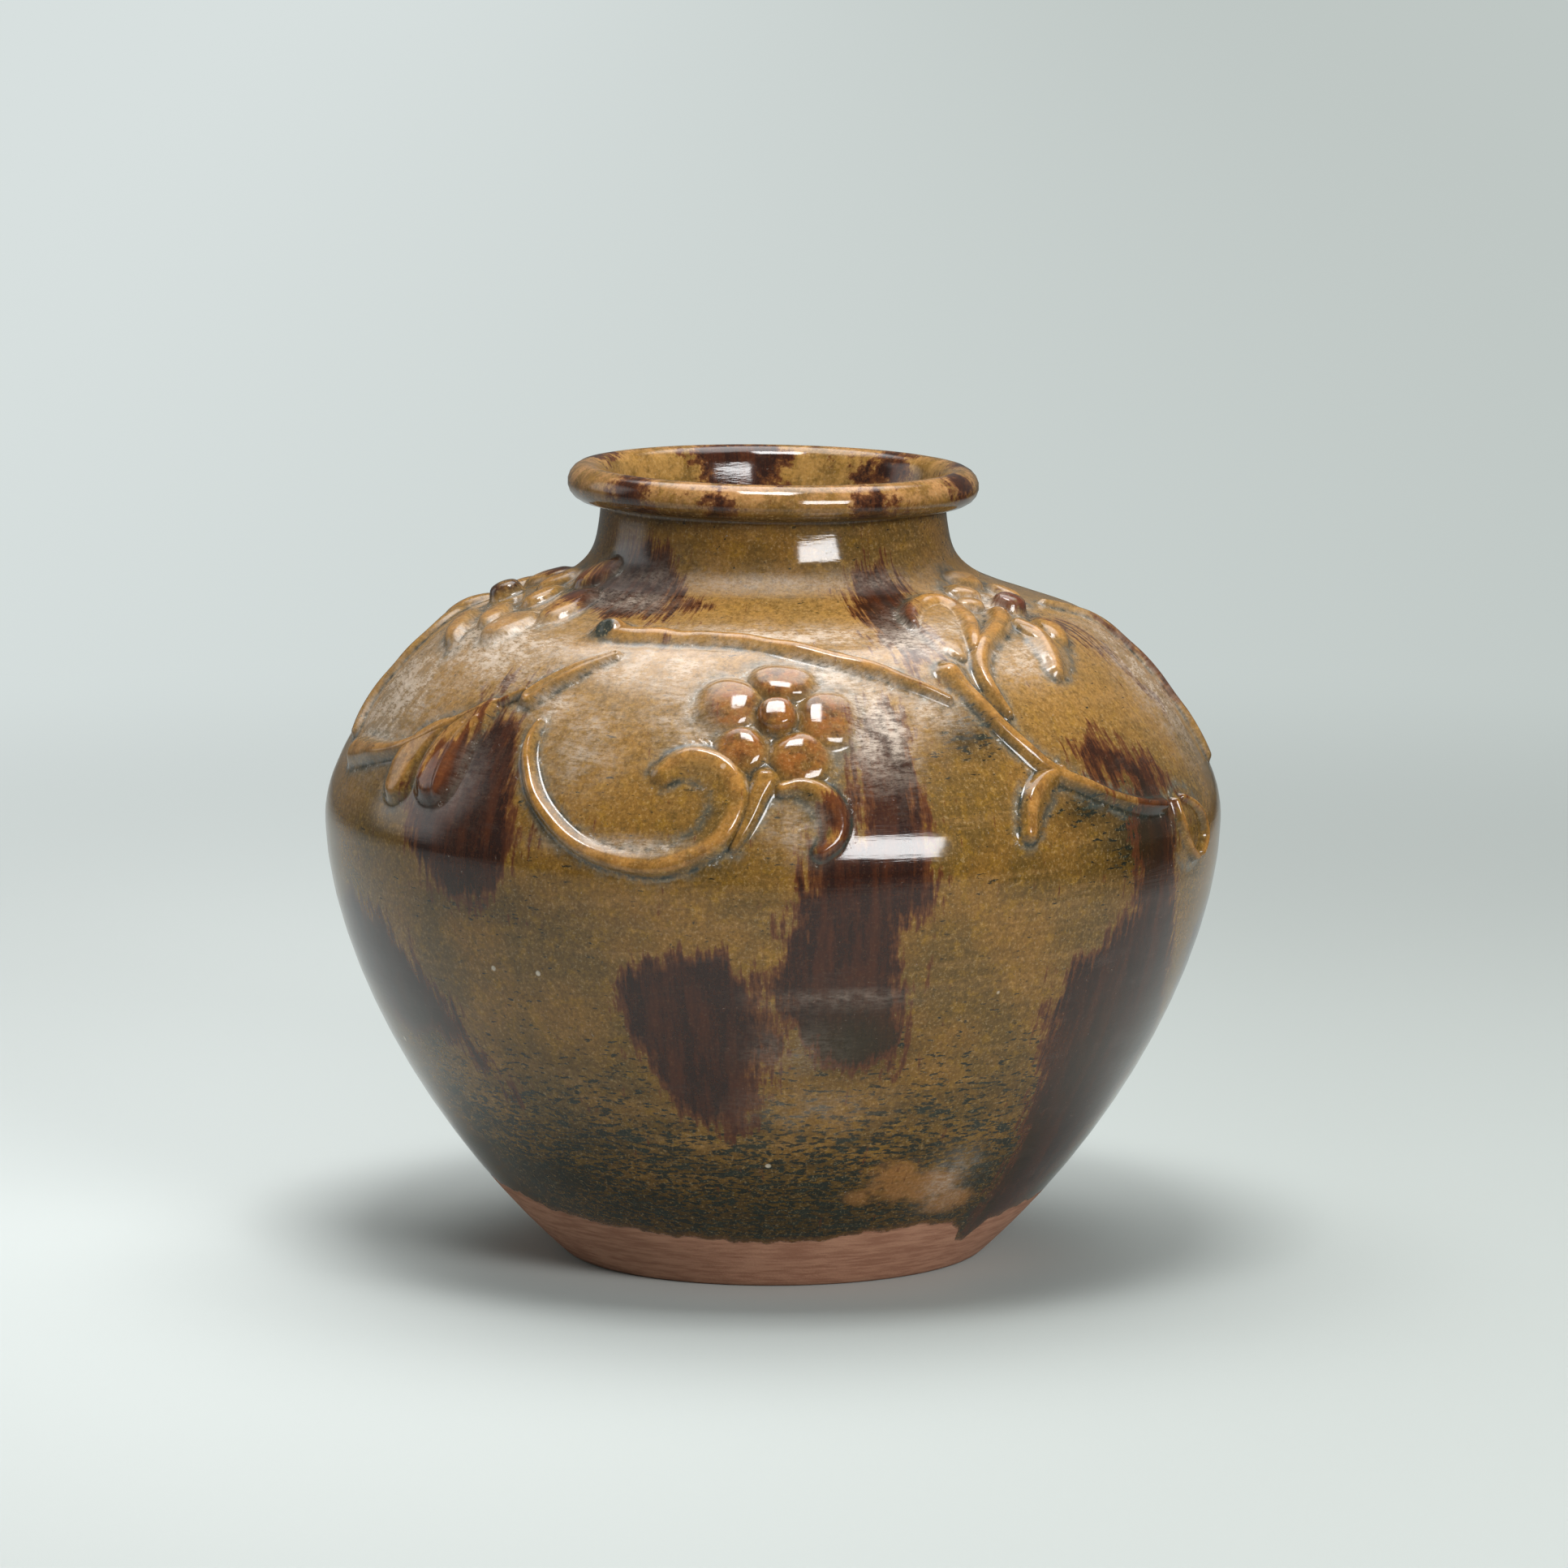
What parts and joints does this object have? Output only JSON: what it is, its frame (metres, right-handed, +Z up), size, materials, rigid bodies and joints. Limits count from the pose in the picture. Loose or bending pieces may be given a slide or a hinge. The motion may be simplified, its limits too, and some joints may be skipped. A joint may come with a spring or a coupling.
{
  "type": "stoneware jar",
  "caption": "Round-bellied glazed stoneware jar with a short neck, a rolled rim, and flower and vine relief on its shoulder.",
  "frame": {"origin": "centre of the resting face, on the jar's own axis", "axes": "+Z up along the jar's axis, from the foot to the mouth; -Y towards the side with the front flower; +X to the right of that side"},
  "size_m": [0.261, 0.2648, 0.23],
  "materials": {
    "ochre_glaze": "glossy ash glaze, mottled ochre to olive, with dark brown splashes and a bare reddish foot",
    "amber_glaze": "glossy, thin and amber on the raised clay, darker where it pools",
    "umber_glaze": "glossy dark purple-brown splash"
  },
  "bodies": {
    "root": {"jar_body": "ochre_glaze", "back_arch_vine": "amber_glaze", "back_branch": "amber_glaze", "back_calyx": "amber_glaze", "back_curl": "amber_glaze", "back_flower_bead": "amber_glaze", "back_flower_petal_1": "amber_glaze", "back_flower_petal_2": "amber_glaze", "back_flower_petal_3": "amber_glaze", "back_flower_petal_4": "amber_glaze", "back_flower_petal_5": "amber_glaze", "back_lobed_leaf": "amber_glaze", "back_scroll": "amber_glaze", "back_trailing_vine": "amber_glaze", "front_arch_vine": "amber_glaze", "front_branch": "amber_glaze", "front_calyx": "amber_glaze", "front_curl": "amber_glaze", "front_flower_bead": "amber_glaze", "front_flower_petal_1": "amber_glaze", "front_flower_petal_2": "amber_glaze", "front_flower_petal_3": "amber_glaze", "front_flower_petal_4": "amber_glaze", "front_flower_petal_5": "amber_glaze", "front_lobed_leaf": "amber_glaze", "front_scroll": "amber_glaze", "front_trailing_vine": "amber_glaze", "left_edge_vine": "amber_glaze", "left_end_leaf": "amber_glaze", "left_flower_bead": "umber_glaze", "left_flower_petal_1": "amber_glaze", "left_flower_petal_10": "amber_glaze", "left_flower_petal_2": "amber_glaze", "left_flower_petal_3": "amber_glaze", "left_flower_petal_4": "amber_glaze", "left_flower_petal_5": "amber_glaze", "left_flower_petal_6": "amber_glaze", "left_flower_petal_7": "amber_glaze", "left_flower_petal_8": "amber_glaze", "left_flower_petal_9": "amber_glaze", "left_hollow_leaf": "amber_glaze", "left_inner_curl": "amber_glaze", "left_scroll": "amber_glaze", "left_vine": "amber_glaze", "left_vine_curl": "amber_glaze", "right_edge_vine": "amber_glaze", "right_end_leaf": "amber_glaze", "right_flower_bead": "umber_glaze", "right_flower_petal_1": "amber_glaze", "right_flower_petal_2": "amber_glaze", "right_flower_petal_3": "amber_glaze", "right_flower_petal_4": "amber_glaze", "right_flower_petal_5": "amber_glaze", "right_flower_petal_6": "amber_glaze", "right_hollow_leaf": "amber_glaze", "right_inner_curl": "amber_glaze", "right_scroll": "amber_glaze", "right_vine": "amber_glaze", "right_vine_curl": "amber_glaze"}
  },
  "joints": []
}
